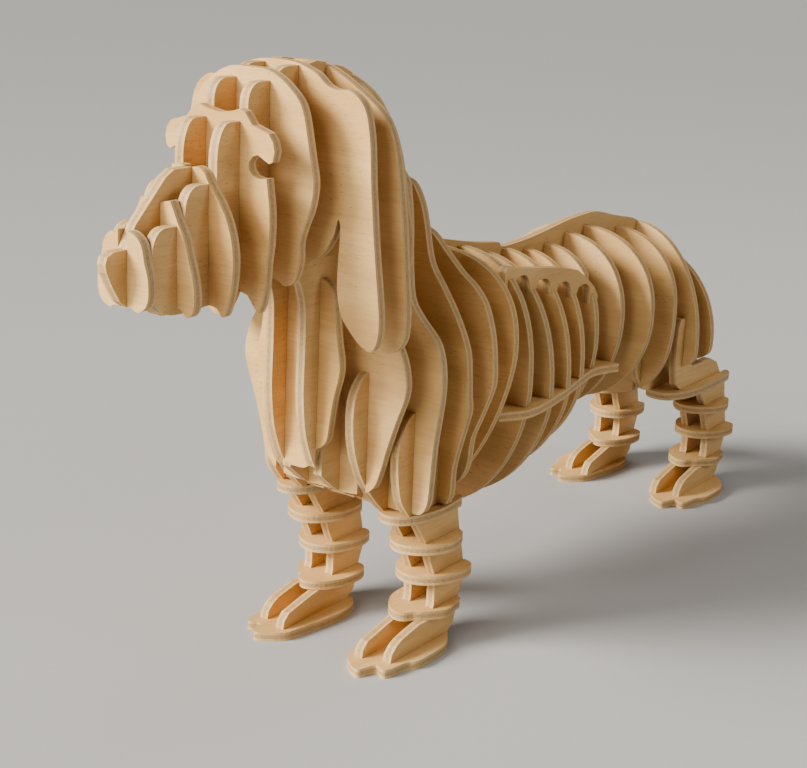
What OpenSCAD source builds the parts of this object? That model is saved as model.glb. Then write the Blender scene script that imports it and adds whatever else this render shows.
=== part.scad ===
// Slot-together plywood dog: a long-bodied, short-legged hound built from flat slices.
// Two short profile plates carry the head slices, one spine plate carries the body ribs.
// Each leg is two upright plates crossed by four level rings and standing on a sole.
// The dog faces -Y, its left side is +X, Z is up and the soles stand on Z = 0.
// Millimetres. A station is the distance behind the middle of the nose cap.

/* [Sheet] */
// Thickness of the plywood sheet
ply = 3; // [2.8:0.1:3.2]
// Clearance on each side of a slot
slot_gap = 0.1; // [0.05:0.01:0.15]

/* [Spacing] */
// Centre plane to the middle of a profile plate
profile_x = 6; // [5.8:0.1:6.2]
// Centre plane to the middle of an inner leg plate
inner_leg_x = 16; // [15.8:0.1:16.2]
// Centre plane to the middle of an outer leg plate
outer_leg_x = 25; // [24.8:0.1:25.2]
// Centre plane to the middle of a flank plate
flank_x = 20.5; // [20.3:0.1:20.7]

/* [Decks] */
// Height of the top face of the belly decks
deck_top = 73; // [72:0.5:74]
// Centre plane to the bottom of the notches that hold a deck
deck_lap = 20; // [19.5:0.1:20.5]

/* [Hidden] */

// Station that lies over the middle of the whole dog
middle = 157.7;
slot_half = ply / 2 + slot_gap;
// Longer than any piece, so a slot always runs out of its piece
reach = 400;
leg_x = (inner_leg_x + outer_leg_x) / 2;
LEFT = 1;
RIGHT = -1;

face_wood = [0.90, 0.78, 0.58];
slice_wood = [0.87, 0.74, 0.54];
rib_wood = [0.82, 0.67, 0.46];
ring_wood = [0.92, 0.81, 0.62];
sole_wood = [0.78, 0.62, 0.42];

// ---- Drawing helpers ------------------------------------------------------------------

// A half outline from top middle to bottom middle, completed with its mirror image
function both_sides(half) =
    concat(half, [for (i = [len(half) - 1:-1:0]) if (half[i][0] > 0) [-half[i][0], half[i][1]]]);

// Point at fraction t of the curve from b to c, with a and d as the neighbours
function curve_point(a, b, c, d, t) =
    (2 * b + (c - a) * t + (2 * a - 5 * b + 4 * c - d) * t * t
        + (3 * b - a - 3 * c + d) * t * t * t) / 2;

// Closed curve through the given points
function smooth(p, steps = 3) =
    let (n = len(p))
    [for (i = [0:n - 1], k = [0:steps - 1])
        curve_point(p[(i + n - 1) % n], p[i], p[(i + 1) % n], p[(i + 2) % n], k / steps)];

// Open curve through the given points
function smooth_run(p, steps = 3) =
    let (n = len(p) - 1)
    concat([for (i = [0:n - 1], k = [0:steps - 1])
        curve_point(p[max(i - 1, 0)], p[i], p[i + 1], p[min(i + 2, n)], k / steps)], [p[n]]);

function signed_power(v, e) = sign(v) * pow(abs(v), e);

// Rounded outline: half width, top, widest height, bottom, roundness above and below
function egg(w, top, wide, bottom, n_top, n_bottom) =
    [for (a = [0:5:355])
        let (upper = a < 180, e = 2 / (upper ? n_top : n_bottom),
            rise = upper ? top - wide : wide - bottom)
        [w * signed_power(cos(a), e), wide + rise * signed_power(sin(a), e)]];

// A sheet standing across the dog at a station, drawn in (x, z)
module crosswise(station) {
    translate([0, station - middle + ply / 2, 0])
        rotate([90, 0, 0])
            linear_extrude(ply)
                children();
}

// A sheet standing along the dog with its middle at x, drawn in (station, z)
module lengthwise(x) {
    translate([x - ply / 2, -middle, 0])
        rotate([90, 0, 90])
            linear_extrude(ply)
                children();
}

// A level sheet with the given top height, drawn in (x, station)
module level(top) {
    translate([0, -middle, top - ply])
        linear_extrude(ply)
            children();
}

// Slot for a crossing sheet, running down from the lap height
module slot_below(at, lap) {
    translate([at - slot_half, lap - reach])
        square([2 * slot_half, reach]);
}

// Slot for a crossing sheet, running up from the lap height
module slot_above(at, lap) {
    translate([at - slot_half, lap])
        square([2 * slot_half, reach]);
}

// ---- Stations and lap heights ---------------------------------------------------------

// Head slices that drop over the profile plates: station, lap height
muzzle_front = [12, 137];
muzzle_rear = [24, 142];
face = [36, 151];
forehead = [48, 157];
ear_front = [60, 158];
ear_rear = [72, 160];
nape = [84, 154];
head_laps = [muzzle_front, muzzle_rear, face, forehead, ear_front, ear_rear, nape];

// Where the muzzle plate crosses the nose cap and the two muzzle slices
muzzle_plate_laps = [[0, 138], [12, 141], [24, 147]];

// Chest ribs hang under the profile plates
chest_1 = [72, 96];
chest_2 = [84, 88];

// Shoulder ribs: the first two stand over the profile plates, the last two cross the spine
shoulder_1 = [96, 104];
shoulder_2 = [110, 100];
shoulder_2_spine_lap = 110;
shoulder_3 = [124, 112];

// Body ribs: station, half width, top, widest height, bottom, roundness above and below
body_ribs = [
    [138, 34, 124.8, 95, 38, 2.5, 1.55],
    [152, 31.9, 122.5, 80, 33, 2.5, 1.8],
    [166, 32, 118.5, 73, 33, 2.3, 1.7],
    [180, 30.4, 117.4, 73, 37, 2.25, 1.7],
    [194, 27.6, 115.3, 75, 41, 2.3, 1.8],
    [208, 24.8, 115.2, 82, 47, 2.4, 1.8],
    [222, 27.2, 117.3, 88, 51.5, 2.3, 1.9],
    [236, 32, 118, 88, 52.5, 2.3, 2],
    [261, 28.9, 114.1, 84, 48.7, 2.3, 2.6],
    [278, 31.4, 114, 68, 58.1, 2.05, 4],
    [294, 30.2, 102, 68, 58.1, 2, 4]];
// How far the spine reaches down into a body rib
spine_depth = 22;
function body_lap(r) = r[2] - spine_depth;

// Lap heights of the leg plates with the ribs above them
front_inner_laps = [[84, 78], [96, 68], [110, 62]];
front_outer_laps = [[96, 66], [110, 61]];
rear_inner_laps = [[261, 70], [278, 69]];
rear_outer_laps = [[278, 69]];

// Flank plate: station and lap height at each rib, and top of the arch behind it
flank_laps = [[152, 112.6], [166, 107.6], [180, 104.9], [194, 101], [208, 98.4]];
arch_tops = [114.5, 111, 107.8, 104.6];

// ---- Profile plates and spine ---------------------------------------------------------

// Rounded scallop between one head slice and the next, low in front and high behind
scallop_run = 5;
slice_pitch = 12;
function scallop(station, low, high) =
    concat([for (a = [0:15:90])
        [station + slot_half + scallop_run * (1 - cos(a)), low + (high - low) * sin(a)]],
        [[station + slice_pitch - slot_half, high]]);

head_top = concat(
    scallop(0, 143, 149),
    scallop(12, 152, 158.5),
    scallop(24, 164, 173.8),
    scallop(36, 178, 183.6),
    scallop(48, 184.5, 187),
    [[61.6, 187], [66, 187.7], [70.4, 187.2], [73.6, 186.3], [78, 185.5], [82.4, 183.6]]);

neck_and_shoulder = smooth_run([
    [85.6, 179], [88.5, 173], [91, 166], [93, 159], [94.4, 154], [97.6, 152.5], [102, 149.5],
    [107, 146], [111.7, 143], [114, 134], [116.5, 122], [118, 110]]);

chest_and_throat = smooth_run([
    [118, 60], [116, 50], [110, 45.2], [100, 47.9], [93.3, 51.8], [84, 56], [76.7, 61.3],
    [70.4, 67.6], [66.7, 75.6], [65, 82], [64, 92], [64.3, 106], [64.2, 116.9], [62.7, 122.9],
    [60.5, 127], [57.5, 129], [48, 129.5], [36, 127.5], [24, 126], [12, 125.5], [6, 126.5],
    [2.2, 130]]);

module profile_plate(side) {
    lengthwise(side * profile_x)
        difference() {
            polygon(concat(head_top, neck_and_shoulder, chest_and_throat, [[1.6, 134]]));
            for (lap = concat(head_laps, [shoulder_1, shoulder_2]))
                slot_above(lap[0], lap[1]);
            for (lap = [chest_1, chest_2])
                slot_below(lap[0], lap[1]);
        }
}

module profile_plate_left() {
    color(face_wood) profile_plate(LEFT);
}
module profile_plate_right() {
    color(face_wood) profile_plate(RIGHT);
}

// Back line of the spine, with the small step down above the belly
spine_back = smooth_run([
    [104, 104], [105.5, 118], [110, 126], [118, 129], [126, 129.2], [134, 127.8], [141.5, 126.1],
    [154, 123.5], [165, 121.5], [174.7, 120.2], [176.5, 119.8]]);
spine_loin = smooth_run([
    [178, 118.2], [183, 118], [196, 118.6], [209, 119.9], [223.5, 121.6], [238, 122.2],
    [246, 121.6], [255, 119.5], [264.5, 117.4], [273.5, 115.6], [282, 112], [290, 106.5],
    [296, 100.5], [300, 94], [301, 84], [298, 74]]);
spine_under = smooth_run([
    [290, 70], [262, 70.5], [236, 72], [208, 70], [180, 67], [150, 66], [104, 66]]);

module spine_plate() {
    color(face_wood)
        lengthwise(0)
            difference() {
                polygon(concat(spine_back, spine_loin, spine_under));
                slot_below(shoulder_2[0], shoulder_2_spine_lap);
                slot_below(shoulder_3[0], shoulder_3[1]);
                for (r = body_ribs)
                    slot_below(r[0], body_lap(r));
            }
}

// ---- Muzzle plate and head slices -----------------------------------------------------

module muzzle_plate() {
    color(face_wood)
        lengthwise(0)
            difference() {
                polygon([[-9, 140.8], [-8.3, 142.6], [-6, 143.6], [-1.6, 143.7], [1.6, 149.4],
                    [12.5, 160.3], [15.8, 162.2], [22.4, 162.2], [25.6, 161.5], [29, 160],
                    [30, 156], [30, 130], [28, 127.5], [13.6, 126], [1.6, 127.5], [-1.6, 128.6],
                    [-4, 130.5], [-6.5, 134.5], [-8.5, 138.5]]);
                for (lap = muzzle_plate_laps)
                    slot_below(lap[0], lap[1]);
            }
}

module nose_cap() {
    color(slice_wood)
        crosswise(muzzle_plate_laps[0][0])
            difference() {
                polygon(smooth(both_sides([[0, 148.5], [3.7, 148], [6.5, 145.5], [7.6, 141],
                    [8.8, 137], [8.9, 132], [7.6, 129.2], [5, 127.8], [3, 128.6], [0, 128.4]])));
                slot_above(0, muzzle_plate_laps[0][1]);
            }
}

// A slice that drops over both profile plates
module head_slice(lap, outline) {
    crosswise(lap[0])
        difference() {
            polygon(outline);
            for (side = [LEFT, RIGHT])
                slot_below(side * profile_x, lap[1]);
            children();
        }
}

module muzzle_slice_front() {
    color(slice_wood)
        head_slice(muzzle_front, smooth(both_sides([[0, 154], [4.6, 155.1], [5.6, 154.1],
            [7.7, 149.8], [9.9, 145.9], [11.5, 140.6], [13.1, 135.2], [13.6, 130.6],
            [13.1, 127.2], [11, 125.2], [8.4, 127.3], [2.7, 124.4], [0, 124.4]])))
            slot_above(0, muzzle_plate_laps[1][1]);
}
module muzzle_slice_rear() {
    color(slice_wood)
        head_slice(muzzle_rear, smooth(both_sides([[0, 162], [3.4, 162.4], [5.9, 161.1],
            [7.2, 158.9], [10.9, 154.3], [13.5, 150], [15.4, 144.6], [16.1, 138.6],
            [15.6, 132.3], [14.4, 127.2], [12.6, 123.5], [10.7, 125.6], [6.9, 125.9],
            [0, 124.5]])))
            slot_above(0, muzzle_plate_laps[2][1]);
}
// The open notches at half height are the eyes
module face_slice() {
    color(slice_wood)
        head_slice(face, both_sides([[0, 175.4], [4, 176], [7, 176.9], [9, 176.4],
            [11.6, 173.2], [14.5, 172.3], [17.3, 171.5], [18.8, 169.5], [19.4, 167],
            [18.8, 164.3], [17.6, 163.7], [13.8, 165.6], [12, 165], [10.6, 163.2],
            [10.8, 161.2], [12.2, 159.8], [14.2, 159.3], [16.9, 159.6], [17.2, 157.5],
            [18, 152], [18.2, 147], [18, 142], [17.3, 137], [16.9, 131], [15.7, 125],
            [14.6, 122.8], [12.8, 124.8], [10.8, 127.3], [8, 127.9], [0, 126.8]]));
}
module forehead_slice() {
    color(slice_wood)
        head_slice(forehead, smooth(both_sides([[0, 186.6], [5.6, 186.5], [9.9, 185.1],
            [14.1, 182.4], [17.6, 179.1], [19.4, 175.2], [20.7, 169.5], [21.9, 163.9],
            [22.9, 159.3], [23, 155.6], [21.9, 150.1], [20, 145.5], [18.6, 140.9],
            [18.5, 135.5], [17, 130.4], [14.2, 128.2], [11, 129.6], [6, 130.2], [0, 130]])));
}
module ear_slice_front() {
    color(slice_wood)
        head_slice(ear_front, smooth(both_sides([[0, 188], [6, 187.7], [10.5, 186.5],
            [14, 185], [17.3, 182.5], [20.7, 181.6], [24.7, 181.9], [28.1, 180.2],
            [30.5, 177.3], [31.8, 173], [32.7, 167], [33.2, 159], [34, 151], [34.8, 143],
            [35.8, 135], [36.9, 127], [37.6, 120], [37.2, 114.8], [35.2, 111.2],
            [31.5, 112.4], [27.4, 116], [24.4, 120], [22.9, 126.5], [22.9, 134],
            [23.3, 141], [23.2, 145.4], [22.4, 146.4], [21.9, 144.5], [20.7, 141],
            [17.6, 136.3], [12.8, 132.8], [9, 131.2], [0, 130.5]])));
}
module ear_slice_rear() {
    color(slice_wood)
        head_slice(ear_rear, smooth(both_sides([[0, 187.2], [4, 187], [8.4, 186],
            [15.4, 182.8], [22.5, 178.6], [27.3, 175], [30.2, 171], [32.1, 166],
            [33.4, 160], [34.6, 152.5], [35.7, 144.5], [36.5, 136], [37.3, 128],
            [38, 119.5], [37.4, 112.2], [34, 108.2], [30.3, 108.3], [27, 112], [24.6, 118],
            [23.6, 126], [23.4, 136], [23.2, 143], [22.4, 144.4], [21.7, 142.5],
            [19.5, 138], [14.5, 134], [9, 132.3], [0, 131.8]])));
}
module nape_slice() {
    color(slice_wood)
        head_slice(nape, smooth(both_sides([[0, 185], [5, 183.4], [11.8, 180],
            [16.1, 176.5], [21.3, 169.3], [23.6, 164], [25.4, 157.5], [27.4, 147.5],
            [29.3, 138], [28.6, 129], [25, 123], [18, 121.2], [0, 121]])));
}

// ---- Chest and shoulder ribs ----------------------------------------------------------

// A rib pushed up from below onto both profile plates
module hanging_rib(lap, outline) {
    crosswise(lap[0])
        difference() {
            polygon(smooth(both_sides(outline)));
            for (side = [LEFT, RIGHT])
                slot_above(side * profile_x, lap[1]);
            children();
        }
}

// A rib dropped over both profile plates and over the leg plates below it
module shoulder_rib(lap, outline) {
    crosswise(lap[0])
        difference() {
            polygon(smooth(both_sides(outline)));
            for (side = [LEFT, RIGHT])
                slot_below(side * profile_x, lap[1]);
            children();
        }
}

// A rib that hangs under the spine plate
module spine_rib(lap, outline) {
    crosswise(lap[0])
        difference() {
            polygon(outline);
            slot_above(0, lap[1]);
            children();
        }
}

// The pair of slots that a rib needs over the inner or the outer leg plates
module leg_slots(leg, lap) {
    for (side = [LEFT, RIGHT])
        slot_below(side * leg, lap);
}

module chest_rib_1() {
    color(rib_wood)
        hanging_rib(chest_1, [[0, 126], [8, 125.5], [12, 122], [13.2, 115], [14.2, 108],
            [15.4, 101.5], [15.2, 97], [13.4, 90], [12.2, 82], [11.4, 77], [9.4, 74.4],
            [7.3, 73], [5.4, 68.2], [3, 66.5], [0, 66.3]]);
}
module chest_rib_2() {
    color(rib_wood)
        hanging_rib(chest_2, [[0, 118], [14, 117], [22, 113], [28.3, 105], [30.8, 97],
            [30.5, 91], [28, 84], [25, 75], [22.8, 67], [20.5, 61], [16, 58], [10, 57],
            [0, 57]])
            leg_slots(inner_leg_x, front_inner_laps[0][1]);
}
module shoulder_rib_1() {
    color(rib_wood)
        shoulder_rib(shoulder_1, [[0, 158], [8, 157.8], [14.4, 156.8], [18.6, 153.3], [19.7, 149],
            [20.8, 140], [21.4, 128], [22.7, 118], [26, 113], [29.5, 109.5], [33, 105.5],
            [35, 99], [35.4, 91], [34.3, 81], [33.2, 72], [32.6, 61], [32, 55], [30, 51.5],
            [26, 50.8], [18, 50.6], [0, 50.6]]) {
            leg_slots(inner_leg_x, front_inner_laps[1][1]);
            leg_slots(outer_leg_x, front_outer_laps[0][1]);
        }
}
module shoulder_rib_2() {
    color(rib_wood)
        shoulder_rib(shoulder_2, [[0, 151.2], [5.5, 151.1], [9.6, 150.4], [12.3, 148.7],
            [14.9, 144.2], [16.7, 138.6], [18.4, 130.4], [20.2, 125], [24, 119.6],
            [28.3, 113.3], [31.8, 107], [34.4, 100.5], [35.2, 93.7], [35.7, 86.4], [36, 81.4],
            [33.2, 70.6], [31.4, 62.6], [31.1, 55], [30, 51.5], [27, 50.6], [0, 50.6]]) {
            leg_slots(inner_leg_x, front_inner_laps[2][1]);
            leg_slots(outer_leg_x, front_outer_laps[1][1]);
            slot_above(0, shoulder_2_spine_lap);
        }
}
module shoulder_rib_3() {
    color(rib_wood)
        spine_rib(shoulder_3, smooth(both_sides([[0, 134.2], [4.4, 133.9], [10.2, 132],
            [15, 127.4], [21.6, 121.2], [26.6, 117.6], [30.6, 113], [32.7, 108],
            [34.4, 101.8], [35.4, 93.4], [35.3, 86.3], [31.2, 75], [28.6, 68], [27.4, 58.3],
            [23, 52], [14, 50.6], [0, 50.6]])));
}

// ---- Body ribs ------------------------------------------------------------------------

// A rounded rib that hangs under the spine plate
module body_rib(r) {
    spine_rib([r[0], body_lap(r)], egg(r[1], r[2], r[3], r[4], r[5], r[6]))
        children();
}

// Extra slots of belly rib n + 2: flank plates above, decks at the sides
module flank_and_deck_slots(n) {
    for (side = [LEFT, RIGHT]) {
        slot_above(side * flank_x, flank_laps[n][1]);
        translate([side > 0 ? deck_lap : -deck_lap - reach, deck_top - ply - slot_gap])
            square([reach, ply + 2 * slot_gap]);
    }
}

module belly_rib_1() {
    color(rib_wood) body_rib(body_ribs[0]);
}
module belly_rib_2() {
    color(rib_wood) body_rib(body_ribs[1]) flank_and_deck_slots(0);
}
module belly_rib_3() {
    color(rib_wood) body_rib(body_ribs[2]) flank_and_deck_slots(1);
}
module belly_rib_4() {
    color(rib_wood) body_rib(body_ribs[3]) flank_and_deck_slots(2);
}
module belly_rib_5() {
    color(rib_wood) body_rib(body_ribs[4]) flank_and_deck_slots(3);
}
module belly_rib_6() {
    color(rib_wood) body_rib(body_ribs[5]) flank_and_deck_slots(4);
}
module loin_rib_1() {
    color(rib_wood) body_rib(body_ribs[6]);
}
module loin_rib_2() {
    color(rib_wood) body_rib(body_ribs[7]);
}
module hip_rib() {
    color(rib_wood) body_rib(body_ribs[8]) leg_slots(inner_leg_x, rear_inner_laps[0][1]);
}
module thigh_rib_1() {
    color(rib_wood) body_rib(body_ribs[9]) {
        leg_slots(inner_leg_x, rear_inner_laps[1][1]);
        leg_slots(outer_leg_x, rear_outer_laps[0][1]);
    }
}
module thigh_rib_2() {
    color(rib_wood) body_rib(body_ribs[10]);
}

// ---- Flank plates and belly decks -----------------------------------------------------

flank_crest = [
    [148.5, 112], [148.5, 117], [149.6, 118.6], [152, 118.6], [155.9, 117.3], [168.7, 115.6],
    [183.2, 113.5], [195.9, 110.5], [203, 106.5], [208.5, 102.5], [211.4, 99]];

// The first and the last tooth straddle their ribs, so they are wider and reach below the lap
end_tooth_half = 2.7;
end_tooth_drop = 1.6;
// The teeth between them stand in the notches of their ribs
tooth_half = 1.7;
tooth_rise = 0.1;
last_tooth = len(flank_laps) - 1;

function is_end(n) = n == 0 || n == last_tooth;
function tooth_side(n) = is_end(n) ? end_tooth_half : tooth_half;
function tooth_foot(n) = flank_laps[n][1] + (is_end(n) ? -end_tooth_drop : tooth_rise);

// Arch behind tooth n, from the foot of the next tooth to its own foot
function arch(n) =
    let (a = flank_laps[n][0], b = flank_laps[n + 1][0], top = arch_tops[n])
    smooth_run([[b - tooth_side(n + 1), tooth_foot(n + 1)],
        [b - max(2, tooth_side(n + 1)), top - 4.6], [b - 2.8, top - 2.2], [b - 4.2, top - 0.6],
        [b - 6.2, top], [a + 4.6, top], [a + 3.2, top - 0.8],
        [a + max(2.2, tooth_side(n)), top - 2.4], [a + tooth_side(n), tooth_foot(n)]]);

module flank_plate(side) {
    lengthwise(side * flank_x)
        difference() {
            polygon(concat(flank_crest,
                [[flank_crest[len(flank_crest) - 1][0], tooth_foot(last_tooth)]],
                [for (n = [last_tooth - 1:-1:0]) each arch(n)],
                [[flank_crest[0][0], tooth_foot(0)]]));
            for (lap = [flank_laps[0], flank_laps[last_tooth]])
                slot_below(lap[0], lap[1]);
        }
}
module flank_plate_left() {
    color(face_wood) flank_plate(LEFT);
}
module flank_plate_right() {
    color(face_wood) flank_plate(RIGHT);
}

deck_edge = smooth_run([
    [28.2, 139.8], [31.3, 144.6], [33.3, 149.4], [33.6, 156], [32.8, 164.8], [31.8, 171.3],
    [30.7, 178.2], [29.2, 184.9], [27.9, 191.1], [26.2, 198.8], [25, 205.4], [25, 210.1],
    [26, 214], [28.2, 220.2]]);
deck_inner_x = 13;

module belly_deck(side) {
    level(deck_top)
        mirror([side < 0 ? 1 : 0, 0, 0])
            difference() {
                polygon(concat([[deck_inner_x, 139.8]], deck_edge, [[deck_inner_x, 220.2]]));
                for (lap = flank_laps)
                    translate([deck_lap - reach, lap[0] - slot_half])
                        square([reach, 2 * slot_half]);
            }
}
module belly_deck_left() {
    color(ring_wood) belly_deck(LEFT);
}
module belly_deck_right() {
    color(ring_wood) belly_deck(RIGHT);
}

// ---- Legs: all lengths run backwards from the toe of the leg --------------------------

front_toe = 84;
rear_toe = 282;
tab_starts = [4, 26];
tab_length = 6;

// The outer plate starts a little behind the inner one
inner_plate_start = 0;
outer_plate_start = 2.8;
function shin_front(start) = [[start, ply], [start + 0.6, 5.6], [start + 3, 7.8], [8.5, 9],
    [13, 10], [18, 10.9], [24.6, 12.5], [25.6, 16], [25.6, 21], [25, 26], [22.6, 31], [20.4, 37],
    [16.2, 43], [12.6, 48]];
shin_back = [[36.3, 48], [37, 44], [38, 39], [40, 32], [41.5, 26], [42, 20], [39.6, 14],
    [38.5, 9], [37.3, 5.2], [34, ply]];
// Two tabs reach down through the sole
shin_tabs = [for (start = [tab_starts[1], tab_starts[0]])
    each [[start + tab_length, ply], [start + tab_length, 0], [start, 0], [start, ply]]];

shoulder_inner = smooth_run([[8.5, 50], [3.5, 55], [-3, 63], [-7.2, 72.5], [-8.7, 81],
    [-8.2, 89], [-5.8, 93.6], [-2.8, 96.2], [1, 96.4], [6, 93.5], [14, 86], [22, 76],
    [29, 64], [33.5, 53], [34.3, 50]]);
shoulder_outer = smooth_run([[9.6, 50], [5, 56], [3, 63.5], [2.6, 72], [5, 79], [8.2, 82.6],
    [12, 82.8], [19, 78], [26, 69], [31, 60], [33.6, 53], [34.3, 50]]);
thigh_inner = [[8, 50.1], [-15, 50.1], [-20, 52.5], [-24.5, 57.5], [-27.5, 64], [-28, 72],
    [-26, 80], [-22, 85], [-17.5, 86.2], [-12, 85], [-6, 82], [-1, 77], [1.5, 68], [4, 59],
    [8, 58], [22, 58], [27, 55], [31, 50]];
thigh_outer = [[8, 50.1], [-5, 50.1], [-9, 53], [-11, 60], [-11.6, 70], [-11.2, 76.5],
    [-9.6, 79.4], [-3, 79.4], [0.5, 74], [1, 62], [4, 58], [20, 58], [27, 55], [31, 50]];

// Ring outlines from the ground up, for a left leg, each with the end of its slots
ring_1 = [[[-2, 15.8], [0.8, 16.6], [2.6, 19], [4.6, 20.6], [7.4, 24], [9.4, 27.4], [9.6, 30.4],
    [8.6, 34], [7.6, 38.4], [0, 40.4], [-8, 39.4], [-10.8, 36], [-11.4, 31], [-10.6, 25.5],
    [-8.4, 20.8], [-5.4, 17.4]], 31];
ring_2 = [[[-2, 19.4], [3, 20.2], [7.4, 23.6], [10.2, 28.6], [11.4, 34], [11, 38.3], [8.4, 41.6],
    [0, 42.4], [-8.4, 41.6], [-10.8, 37], [-11, 31], [-9.6, 26.5], [-7, 22.2]], 34];
ring_3 = [[[-1.6, 14], [3.4, 14.8], [7.6, 17.8], [10.5, 22.2], [11.6, 27], [10.8, 31.4], [8, 36.8],
    [0, 38.4], [-8, 37.4], [-10.4, 33], [-10.6, 27], [-9.6, 22.4], [-6, 16.8]], 28.5];
front_ring_4 = [[[0, 6], [3.8, 7.4], [7.2, 12], [9, 19], [9.4, 26], [8.8, 31], [7.6, 36.4],
    [0, 38.4], [-7.6, 36.4], [-8.8, 31], [-9.4, 26], [-9, 19], [-7.2, 12], [-3.8, 7.4]], 23];
rear_ring_4 = [[[0, -14], [5, -12], [8.8, -4], [10.2, 6], [10.4, 18], [9.8, 29], [8, 35],
    [0, 36.8], [-8, 35], [-9.8, 29], [-10.4, 18], [-10.2, 6], [-8.8, -4], [-5, -12]], 22];
front_rings = [ring_1, ring_2, ring_3, front_ring_4];
rear_rings = [ring_1, ring_2, ring_3, rear_ring_4];
ring_tops = [14, 26, 38, 50];

module leg_plate(x, toe, start, upper, rings, laps) {
    lengthwise(x)
        difference() {
            translate([toe, 0])
                polygon(concat(shin_front(start), upper, shin_back, shin_tabs));
            for (n = [0:3])
                translate([toe + rings[n][1] - reach, ring_tops[n] - ply - slot_gap])
                    square([reach, ply + 2 * slot_gap]);
            for (lap = laps)
                slot_above(lap[0], lap[1]);
        }
}

module leg_ring(side, toe, ring, top) {
    level(top)
        mirror([side < 0 ? 1 : 0, 0, 0])
            translate([leg_x, toe])
                difference() {
                    polygon(smooth(ring[0]));
                    for (x = [inner_leg_x - leg_x, outer_leg_x - leg_x])
                        translate([x - slot_half, ring[1]])
                            square([2 * slot_half, reach]);
                }
}

// The paw: two toes in front, the outer one set back
sole_outline = smooth([[-8, -1], [-4.2, -4.8], [-0.8, -6.8], [1, -6.4], [1.8, -3.6], [2.8, -1.2],
    [4, -0.8], [5.8, -2], [7.4, -1.8], [8.3, 0.7], [8.8, 5], [9.6, 7.7], [11, 9.5], [11.6, 13],
    [11.5, 22], [10.8, 26.5], [8.8, 30.4], [4, 36.4], [-4, 37], [-9.4, 33], [-11.8, 26],
    [-11.4, 17], [-10, 9], [-9, 3]]);

// The rear soles stand a little further out than the plates above them
rear_sole_shift = 3;

module leg_sole(side, toe, shift) {
    level(ply)
        mirror([side < 0 ? 1 : 0, 0, 0])
            translate([leg_x, toe])
                difference() {
                    translate([shift, 0])
                        polygon(sole_outline);
                    for (x = [inner_leg_x - leg_x, outer_leg_x - leg_x], start = tab_starts)
                        translate([x - slot_half, start - slot_gap])
                            square([2 * slot_half, tab_length + 2 * slot_gap]);
                }
}

module front_inner_plate(side) {
    leg_plate(side * inner_leg_x, front_toe, inner_plate_start, shoulder_inner, front_rings,
        front_inner_laps);
}
module front_outer_plate(side) {
    leg_plate(side * outer_leg_x, front_toe, outer_plate_start, shoulder_outer, front_rings,
        front_outer_laps);
}
module rear_inner_plate(side) {
    leg_plate(side * inner_leg_x, rear_toe, inner_plate_start, thigh_inner, rear_rings,
        rear_inner_laps);
}
module rear_outer_plate(side) {
    leg_plate(side * outer_leg_x, rear_toe, outer_plate_start, thigh_outer, rear_rings,
        rear_outer_laps);
}

module front_left_leg_inner() {
    color(face_wood) front_inner_plate(LEFT);
}
module front_left_leg_outer() {
    color(face_wood) front_outer_plate(LEFT);
}
module front_left_ring_1() {
    color(ring_wood) leg_ring(LEFT, front_toe, front_rings[0], ring_tops[0]);
}
module front_left_ring_2() {
    color(ring_wood) leg_ring(LEFT, front_toe, front_rings[1], ring_tops[1]);
}
module front_left_ring_3() {
    color(ring_wood) leg_ring(LEFT, front_toe, front_rings[2], ring_tops[2]);
}
module front_left_ring_4() {
    color(ring_wood) leg_ring(LEFT, front_toe, front_rings[3], ring_tops[3]);
}
module front_left_sole() {
    color(sole_wood) leg_sole(LEFT, front_toe, 0);
}

module front_right_leg_inner() {
    color(face_wood) front_inner_plate(RIGHT);
}
module front_right_leg_outer() {
    color(face_wood) front_outer_plate(RIGHT);
}
module front_right_ring_1() {
    color(ring_wood) leg_ring(RIGHT, front_toe, front_rings[0], ring_tops[0]);
}
module front_right_ring_2() {
    color(ring_wood) leg_ring(RIGHT, front_toe, front_rings[1], ring_tops[1]);
}
module front_right_ring_3() {
    color(ring_wood) leg_ring(RIGHT, front_toe, front_rings[2], ring_tops[2]);
}
module front_right_ring_4() {
    color(ring_wood) leg_ring(RIGHT, front_toe, front_rings[3], ring_tops[3]);
}
module front_right_sole() {
    color(sole_wood) leg_sole(RIGHT, front_toe, 0);
}

module rear_left_leg_inner() {
    color(face_wood) rear_inner_plate(LEFT);
}
module rear_left_leg_outer() {
    color(face_wood) rear_outer_plate(LEFT);
}
module rear_left_ring_1() {
    color(ring_wood) leg_ring(LEFT, rear_toe, rear_rings[0], ring_tops[0]);
}
module rear_left_ring_2() {
    color(ring_wood) leg_ring(LEFT, rear_toe, rear_rings[1], ring_tops[1]);
}
module rear_left_ring_3() {
    color(ring_wood) leg_ring(LEFT, rear_toe, rear_rings[2], ring_tops[2]);
}
module rear_left_ring_4() {
    color(ring_wood) leg_ring(LEFT, rear_toe, rear_rings[3], ring_tops[3]);
}
module rear_left_sole() {
    color(sole_wood) leg_sole(LEFT, rear_toe, rear_sole_shift);
}

module rear_right_leg_inner() {
    color(face_wood) rear_inner_plate(RIGHT);
}
module rear_right_leg_outer() {
    color(face_wood) rear_outer_plate(RIGHT);
}
module rear_right_ring_1() {
    color(ring_wood) leg_ring(RIGHT, rear_toe, rear_rings[0], ring_tops[0]);
}
module rear_right_ring_2() {
    color(ring_wood) leg_ring(RIGHT, rear_toe, rear_rings[1], ring_tops[1]);
}
module rear_right_ring_3() {
    color(ring_wood) leg_ring(RIGHT, rear_toe, rear_rings[2], ring_tops[2]);
}
module rear_right_ring_4() {
    color(ring_wood) leg_ring(RIGHT, rear_toe, rear_rings[3], ring_tops[3]);
}
module rear_right_sole() {
    color(sole_wood) leg_sole(RIGHT, rear_toe, rear_sole_shift);
}

// ---- Drawing ---------------------------------------------------------------------------

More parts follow.
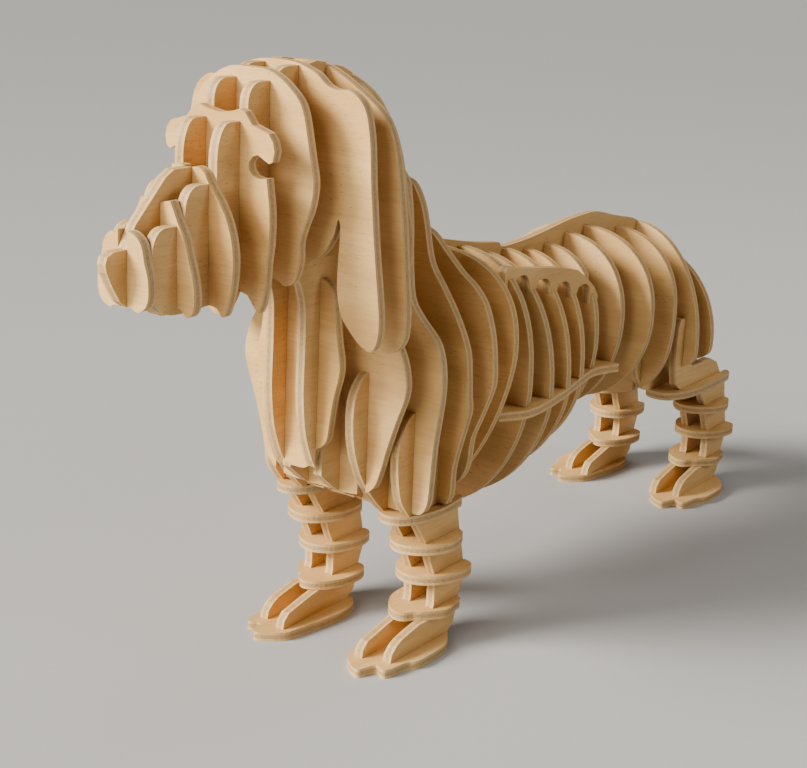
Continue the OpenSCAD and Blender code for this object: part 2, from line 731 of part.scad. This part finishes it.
profile_plate_left();
profile_plate_right();
spine_plate();
muzzle_plate();
nose_cap();
muzzle_slice_front();
muzzle_slice_rear();
face_slice();
forehead_slice();
ear_slice_front();
ear_slice_rear();
nape_slice();
chest_rib_1();
chest_rib_2();
shoulder_rib_1();
shoulder_rib_2();
shoulder_rib_3();
belly_rib_1();
belly_rib_2();
belly_rib_3();
belly_rib_4();
belly_rib_5();
belly_rib_6();
loin_rib_1();
loin_rib_2();
hip_rib();
thigh_rib_1();
thigh_rib_2();
flank_plate_left();
flank_plate_right();
belly_deck_left();
belly_deck_right();
front_left_leg_inner();
front_left_leg_outer();
front_left_ring_1();
front_left_ring_2();
front_left_ring_3();
front_left_ring_4();
front_left_sole();
front_right_leg_inner();
front_right_leg_outer();
front_right_ring_1();
front_right_ring_2();
front_right_ring_3();
front_right_ring_4();
front_right_sole();
rear_left_leg_inner();
rear_left_leg_outer();
rear_left_ring_1();
rear_left_ring_2();
rear_left_ring_3();
rear_left_ring_4();
rear_left_sole();
rear_right_leg_inner();
rear_right_leg_outer();
rear_right_ring_1();
rear_right_ring_2();
rear_right_ring_3();
rear_right_ring_4();
rear_right_sole();
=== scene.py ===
"""A slot-together plywood dog on a plain pale floor, seen from its front left.

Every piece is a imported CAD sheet. This script rounds the sheet edges a little and gives each sheet
its own bare birch plywood: grained faces, layered edges, and a slightly different board for every
piece.
"""

import math
import random

import bpy
from mathutils import Matrix, Vector


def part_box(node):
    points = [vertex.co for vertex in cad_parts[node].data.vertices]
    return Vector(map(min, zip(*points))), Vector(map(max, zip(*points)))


MM = 0.001

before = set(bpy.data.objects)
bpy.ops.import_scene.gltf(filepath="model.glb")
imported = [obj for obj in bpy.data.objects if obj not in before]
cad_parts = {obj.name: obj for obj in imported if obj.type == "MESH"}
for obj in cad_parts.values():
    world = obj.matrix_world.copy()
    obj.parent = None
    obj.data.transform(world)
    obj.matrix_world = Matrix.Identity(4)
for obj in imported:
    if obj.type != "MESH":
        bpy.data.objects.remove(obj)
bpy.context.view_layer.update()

# ---- Sheet and boards -------------------------------------------------------------------------

# Depth from a sheet's middle plane to its glue lines, and their half width
CORE_HALF = 0.55 * MM
GLUE_LINE = 0.12 * MM
EDGE_ROUND = 0.22 * MM
EDGE_ROUND_STEPS = 2
ROUND_ABOVE = math.radians(50)
SMOOTH_BELOW = math.radians(32)
AXES = "XYZ"

# Linear colours of bare birch ply
FACE_PALE = (0.68, 0.42, 0.155)
FACE_TAN = (0.56, 0.325, 0.105)
FACE_PORE = (0.20, 0.095, 0.035)
EDGE_OUTER = (0.56, 0.375, 0.165)
EDGE_CORE = (0.43, 0.27, 0.11)
EDGE_GLUE = (0.24, 0.135, 0.055)

# How far single boards stray from the mean colour, and from each other's place in the grain
BOARD_LIGHTNESS = 0.07
BOARD_WARMTH = 0.03
BOARD_SHIFT = 40
# The streaks in a face are this much darker than the tan wood
STREAK_LIGHTNESS = 0.86

BUMP_STRENGTH = 0.35
BUMP_DEPTH = 0.06 * MM
STREAK_RELIEF = 0.35
SAWN_RELIEF = -0.8
WOOD_SPECULAR = 0.32


class Graph:
    """Short calls for the shader nodes of one material or world."""

    def __init__(self, owner):
        self.tree = owner.node_tree
        self.tree.nodes.clear()

    def add(self, kind, **settings):
        node = self.tree.nodes.new("ShaderNode" + kind)
        for name, value in settings.items():
            setattr(node, name, value)
        return node

    def feed(self, socket, source):
        """Links a socket to another, or sets it to a plain value."""
        if isinstance(source, bpy.types.NodeSocket):
            self.tree.links.new(source, socket)
        else:
            socket.default_value = source

    def math(self, operation, a, b=0.0):
        node = self.add("Math", operation=operation)
        self.feed(node.inputs[0], a)
        self.feed(node.inputs[1], b)
        return node.outputs[0]

    def step(self, value, low, high, out_low=0.0, out_high=1.0):
        """A soft step from out_low to out_high as value goes from low to high."""
        node = self.add("MapRange", interpolation_type="SMOOTHSTEP", clamp=True)
        for socket, source in zip(node.inputs, (value, low, high, out_low, out_high)):
            self.feed(socket, source)
        return node.outputs[0]

    def mix(self, factor, a, b):
        node = self.add("Mix", data_type="RGBA")
        self.feed(node.inputs[0], factor)
        self.feed(node.inputs[6], a)
        self.feed(node.inputs[7], b)
        return node.outputs[2]

    def noise(self, vector, detail=2.0, roughness=0.5, distortion=0.0):
        node = self.add("TexNoise")
        self.feed(node.inputs["Vector"], vector)
        node.inputs["Scale"].default_value = 1.0
        node.inputs["Detail"].default_value = detail
        node.inputs["Roughness"].default_value = roughness
        node.inputs["Distortion"].default_value = distortion
        return node.outputs["Fac"]

    def stretched(self, source, scale, shift):
        node = self.add("Mapping")
        self.feed(node.inputs["Vector"], source)
        node.inputs["Location"].default_value = shift
        node.inputs["Scale"].default_value = scale
        return node.outputs[0]


def colour(rgb, lightness=1.0, warmth=0.0):
    red, green, blue = (channel * lightness for channel in rgb)
    return (red * (1 + warmth), green, blue * (1 - 2 * warmth), 1.0)


def along_and_across(normal_axis, grain_axis, along, across):
    """Texture scale per metre: fine across the grain, long along it, even through the sheet."""
    scale = [across, across, across]
    scale[grain_axis] = along
    scale[normal_axis] = along
    return scale


def plywood(name, normal_axis, grain_axis, middle, seed):
    """Bare plywood for one sheet, whose middle plane is at the given place on its normal axis."""
    dice = random.Random(seed)
    light = 1 + dice.uniform(-BOARD_LIGHTNESS, BOARD_LIGHTNESS)
    warm = dice.uniform(-BOARD_WARMTH, BOARD_WARMTH)
    shift = [dice.uniform(-BOARD_SHIFT, BOARD_SHIFT) for _ in AXES]

    material = bpy.data.materials.new(name)
    material.use_nodes = True
    g = Graph(material)
    place = g.add("TexCoord")
    point = place.outputs["Object"]
    split_point = g.add("SeparateXYZ")
    g.feed(split_point.inputs[0], point)
    split_normal = g.add("SeparateXYZ")
    g.feed(split_normal.inputs[0], place.outputs["Normal"])

    # 1 on the two broad faces, 0 on the cut edges
    facing = g.math("ABSOLUTE", split_normal.outputs[normal_axis])
    on_face = g.step(facing, 0.55, 0.85)
    depth = g.math("ABSOLUTE", g.math("SUBTRACT", split_point.outputs[normal_axis], middle))

    def grain(along, across, **kwargs):
        scale = along_and_across(normal_axis, grain_axis, along, across)
        return g.noise(g.stretched(point, scale, shift), **kwargs)

    # Faces: slow figure, fine streaks, and short dark pores
    figure = grain(9, 55, detail=3.0, roughness=0.55, distortion=0.9)
    streaks = grain(70, 1300, detail=3.0, roughness=0.6)
    fibres = grain(160, 4200, detail=1.0)
    pores = grain(520, 2800, detail=1.0)
    blotch = grain(22, 30, detail=2.0)
    face = g.mix(g.step(figure, 0.36, 0.68), colour(FACE_PALE, light, warm),
                 colour(FACE_TAN, light, warm))
    face = g.mix(g.step(streaks, 0.44, 0.74, 0.0, 0.42), face,
                 colour(FACE_TAN, STREAK_LIGHTNESS * light, warm))
    face = g.mix(g.step(fibres, 0.25, 0.75, 0.10, 0.0), face, colour(FACE_PORE, light, warm))
    pore_share = g.step(blotch, 0.38, 0.66, 0.06, 0.5)
    pore_mask = g.math("MULTIPLY", g.step(pores, 0.655, 0.71), pore_share)
    face = g.mix(pore_mask, face, colour(FACE_PORE, light, warm))

    # Edges: a pale ply each side of a darker core with end grain, and a thin glue line between
    end_grain = grain(1500, 1500, detail=2.0)
    long_grain = g.noise(g.stretched(point, [420, 420, 420], shift), detail=3.0)
    outer = g.mix(g.step(long_grain, 0.3, 0.72, 0.0, 0.55), colour(EDGE_OUTER, light, warm),
                  colour(EDGE_CORE, light, warm))
    core = g.mix(g.step(end_grain, 0.42, 0.66, 0.0, 0.6), colour(EDGE_CORE, light, warm),
                 colour(EDGE_GLUE, light, warm))
    edge = g.mix(g.step(depth, CORE_HALF - GLUE_LINE, CORE_HALF + GLUE_LINE), core, outer)
    from_glue = g.math("ABSOLUTE", g.math("SUBTRACT", depth, CORE_HALF))
    glue = g.step(from_glue, 0.0, GLUE_LINE, 0.55, 0.0)
    edge = g.mix(glue, edge, colour(EDGE_GLUE, light, warm))
    wood = g.mix(on_face, edge, face)

    # Relief: combed fibres and pores on the faces, a sawn roughness on the edges
    face_height = g.math("SUBTRACT", g.math("MULTIPLY", streaks, STREAK_RELIEF), pore_mask)
    edge_height = g.math("MULTIPLY", g.math("ADD", end_grain, glue), SAWN_RELIEF)
    height = g.add("Mix", data_type="FLOAT")
    g.feed(height.inputs[0], on_face)
    g.feed(height.inputs[2], edge_height)
    g.feed(height.inputs[3], face_height)
    bump = g.add("Bump")
    bump.inputs["Strength"].default_value = BUMP_STRENGTH
    bump.inputs["Distance"].default_value = BUMP_DEPTH
    g.feed(bump.inputs["Height"], height.outputs[0])

    shader = g.add("BsdfPrincipled")
    g.feed(shader.inputs["Base Color"], wood)
    g.feed(shader.inputs["Roughness"], g.step(streaks, 0.3, 0.75, 0.50, 0.66))
    g.feed(shader.inputs["Normal"], bump.outputs[0])
    shader.inputs["Specular IOR Level"].default_value = WOOD_SPECULAR
    output = g.add("OutputMaterial")
    g.feed(output.inputs["Surface"], shader.outputs[0])
    return material


# Sheets that stand across the dog have level grain; the others have it along the dog
GRAIN_ACROSS_DOG = 0
GRAIN_ALONG_DOG = 1

for number, (name, piece) in enumerate(sorted(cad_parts.items())):
    low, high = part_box(name)
    size = high - low
    normal_axis = min(range(3), key=lambda axis: size[axis])
    grain_axis = GRAIN_ACROSS_DOG if normal_axis == GRAIN_ALONG_DOG else GRAIN_ALONG_DOG
    middle = (low[normal_axis] + high[normal_axis]) / 2
    piece.data.materials.clear()
    piece.data.materials.append(plywood("ply_" + name, normal_axis, grain_axis, middle, number))
    piece.data.polygons.foreach_set("use_smooth", [True] * len(piece.data.polygons))
    piece.data.set_sharp_from_angle(angle=SMOOTH_BELOW)
    rounding = piece.modifiers.new("edge_rounding", "BEVEL")
    rounding.width = EDGE_ROUND
    rounding.segments = EDGE_ROUND_STEPS
    rounding.limit_method = "ANGLE"
    rounding.angle_limit = ROUND_ABOVE
    rounding.harden_normals = True

# ---- Floor, light and camera ------------------------------------------------------------------

FLOOR_HALF = 15.0
FLOOR_COLOUR = (0.36, 0.356, 0.35, 1.0)
FLOOR_SPECKLE = (0.30, 0.296, 0.292, 1.0)
SPECKLES_PER_METRE = 500
FLOOR_ROUGHNESS = 0.8


def place_in_scene(thing):
    bpy.context.scene.collection.objects.link(thing)


def build_floor():
    half = FLOOR_HALF
    mesh = bpy.data.meshes.new("floor")
    corners = [(-half, -half, 0), (half, -half, 0), (half, half, 0), (-half, half, 0)]
    mesh.from_pydata(corners, [], [(0, 1, 2, 3)])
    floor = bpy.data.objects.new("floor", mesh)
    place_in_scene(floor)
    material = bpy.data.materials.new("pale_floor")
    material.use_nodes = True
    g = Graph(material)
    point = g.add("TexCoord").outputs["Object"]
    speckle = g.noise(g.stretched(point, [SPECKLES_PER_METRE] * 3, [0, 0, 0]), detail=3.0)
    tone = g.mix(g.step(speckle, 0.3, 0.7, 0.0, 0.05), FLOOR_COLOUR, FLOOR_SPECKLE)
    shader = g.add("BsdfPrincipled")
    g.feed(shader.inputs["Base Color"], tone)
    shader.inputs["Roughness"].default_value = FLOOR_ROUGHNESS
    output = g.add("OutputMaterial")
    g.feed(output.inputs["Surface"], shader.outputs[0])
    mesh.materials.append(material)


def aimed(direction):
    """The turn that points a lamp along the given direction."""
    return Vector(direction).to_track_quat("-Z", "Y").to_euler()


def area_light(name, place, size, power, tint):
    """A round softbox aimed at the dog's chest: place and size in metres, power in watts."""
    data = bpy.data.lights.new(name, "AREA")
    data.shape = "DISK"
    data.size = size
    data.energy = power
    data.color = tint
    light = bpy.data.objects.new(name, data)
    light.location = place
    light.rotation_euler = aimed(Vector(CHEST) - Vector(place))
    place_in_scene(light)


CHEST = (0.0, -0.08, 0.10)
SUN_DIRECTION = (0.50, 0.73, -0.52)
SUN_POWER = 9.0
SUN_SPREAD = math.radians(24)
SUN_TINT = (1.0, 0.96, 0.90)
SOFTBOX_TINT = (1.0, 0.95, 0.88)
FILL_TINT = (1.0, 0.97, 0.93)

build_floor()

# One broad window to the dog's front right, so the gaps on its left side fall into warm shade
sun = bpy.data.lights.new("window", "SUN")
sun.energy = SUN_POWER
sun.angle = SUN_SPREAD
sun.color = SUN_TINT
window = bpy.data.objects.new("window", sun)
window.rotation_euler = aimed(SUN_DIRECTION)
place_in_scene(window)
area_light("front_softbox", (-0.10, -1.55, 0.80), 1.3, 28.0, SOFTBOX_TINT)
area_light("overhead", (0.05, 0.35, 1.15), 0.8, 3.0, FILL_TINT)
area_light("side", (0.95, 0.42, 0.60), 0.5, 4.0, FILL_TINT)

# A dim sky lights the dog, so the gaps stay deep, but past the floor's edge it looks like a pale
# studio wall
SKY_TINT = (0.88, 0.87, 0.855, 1.0)
SKY_LIGHT = 0.05
WALL_BRIGHTNESS = 0.62
world = bpy.data.worlds.new("studio")
world.use_nodes = True
sky = Graph(world)
seen = sky.add("LightPath").outputs["Is Camera Ray"]
background = sky.add("Background")
background.inputs["Color"].default_value = SKY_TINT
sky.feed(background.inputs["Strength"], sky.step(seen, 0.0, 1.0, SKY_LIGHT, WALL_BRIGHTNESS))
sky_output = sky.add("OutputWorld")
sky.feed(sky_output.inputs["Surface"], background.outputs[0])
bpy.context.scene.world = world

# The camera stands to the dog's front left and looks slightly down, with a slight roll
CAMERA_PLACE = (0.29507, -0.45313, 0.2336)
TURN = math.radians(35.05)
DOWN = math.radians(16.63)
ROLL = math.radians(2.49)
LENS = 73.6
SENSOR_WIDTH = 36.0

camera_data = bpy.data.cameras.new("camera")
camera_data.lens = LENS
camera_data.sensor_width = SENSOR_WIDTH
camera = bpy.data.objects.new("camera", camera_data)
turn = Matrix.Rotation(TURN, 4, "Z")
tilt = Matrix.Rotation(math.pi / 2 - DOWN, 4, "X")
roll = Matrix.Rotation(ROLL, 4, "Z")
camera.matrix_world = Matrix.Translation(CAMERA_PLACE) @ turn @ tilt @ roll
place_in_scene(camera)
bpy.context.scene.camera = camera
